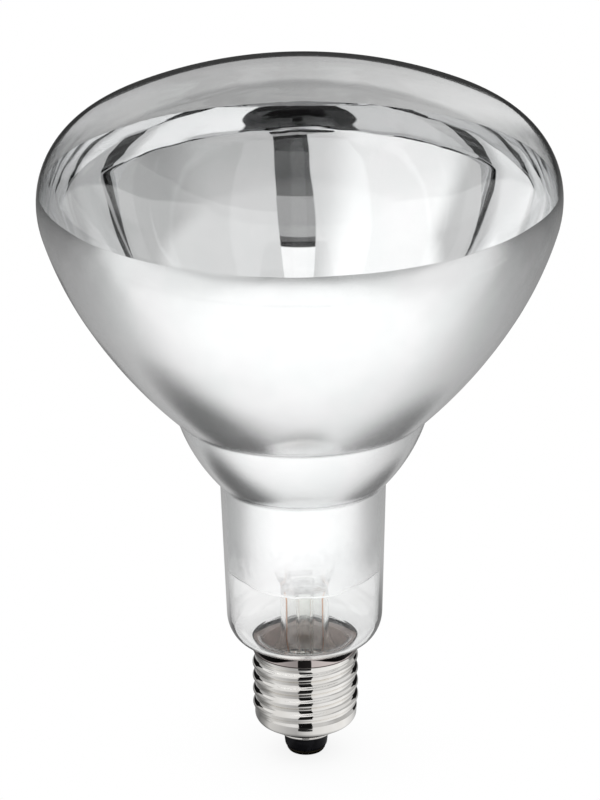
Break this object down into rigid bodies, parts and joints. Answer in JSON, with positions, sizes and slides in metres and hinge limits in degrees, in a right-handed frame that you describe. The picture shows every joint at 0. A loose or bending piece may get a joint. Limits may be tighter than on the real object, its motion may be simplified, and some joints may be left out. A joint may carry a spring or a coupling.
{
  "type": "infrared heat lamp bulb",
  "caption": "Reflector heat lamp bulb: mushroom glass bulb with a clear domed face, mirror-coated bowl and neck, ring filament on a glass stem, and a screw cap.",
  "frame": {"origin": "centre of the centre contact's flat lower face, on the bulb's axis", "axes": "+Z along the bulb's axis from the screw cap to the domed face; -Y towards the gap between the two filament clamps; +X completes the right-hand set"},
  "size_m": [0.1258, 0.1258, 0.1769],
  "materials": {
    "bulb_glass": "clear blown glass, fire polished",
    "reflector_film": "bright evaporated aluminium seen through the glass",
    "stem_glass": "clear drawn and pressed glass",
    "seal_wire": "copper-clad wire sealed in glass",
    "nickel_wire": "bright drawn nickel",
    "support_wire": "drawn molybdenum, satin",
    "tungsten": "dark grey drawn tungsten coil",
    "outer_lead": "copper wire, satin",
    "cap_metal": "bright nickel plate on rolled thin brass",
    "cap_insulator": "black opaque fused glass, glossy",
    "contact_brass": "pressed brass, satin",
    "solder": "soft solder bead, satin",
    "cement": "baked resin cement, matte tan"
  },
  "bodies": {
    "root": {"glass_envelope": "bulb_glass", "reflector_coating": "reflector_film", "stem_glass": "stem_glass", "exhaust_tube": "stem_glass", "arbor_rod": "stem_glass", "seal_wire_left": "seal_wire", "seal_wire_right": "seal_wire", "lead_wire_left": "nickel_wire", "lead_wire_right": "nickel_wire", "support_wire_1": "support_wire", "support_wire_2": "support_wire", "support_wire_3": "support_wire", "support_wire_4": "support_wire", "filament": "tungsten", "outer_lead_centre": "outer_lead", "outer_lead_side": "outer_lead", "cap_shell": "cap_metal", "cap_insulator": "cap_insulator", "centre_contact": "contact_brass", "contact_solder": "solder", "side_solder": "solder", "basing_cement": "cement"}
  },
  "joints": []
}
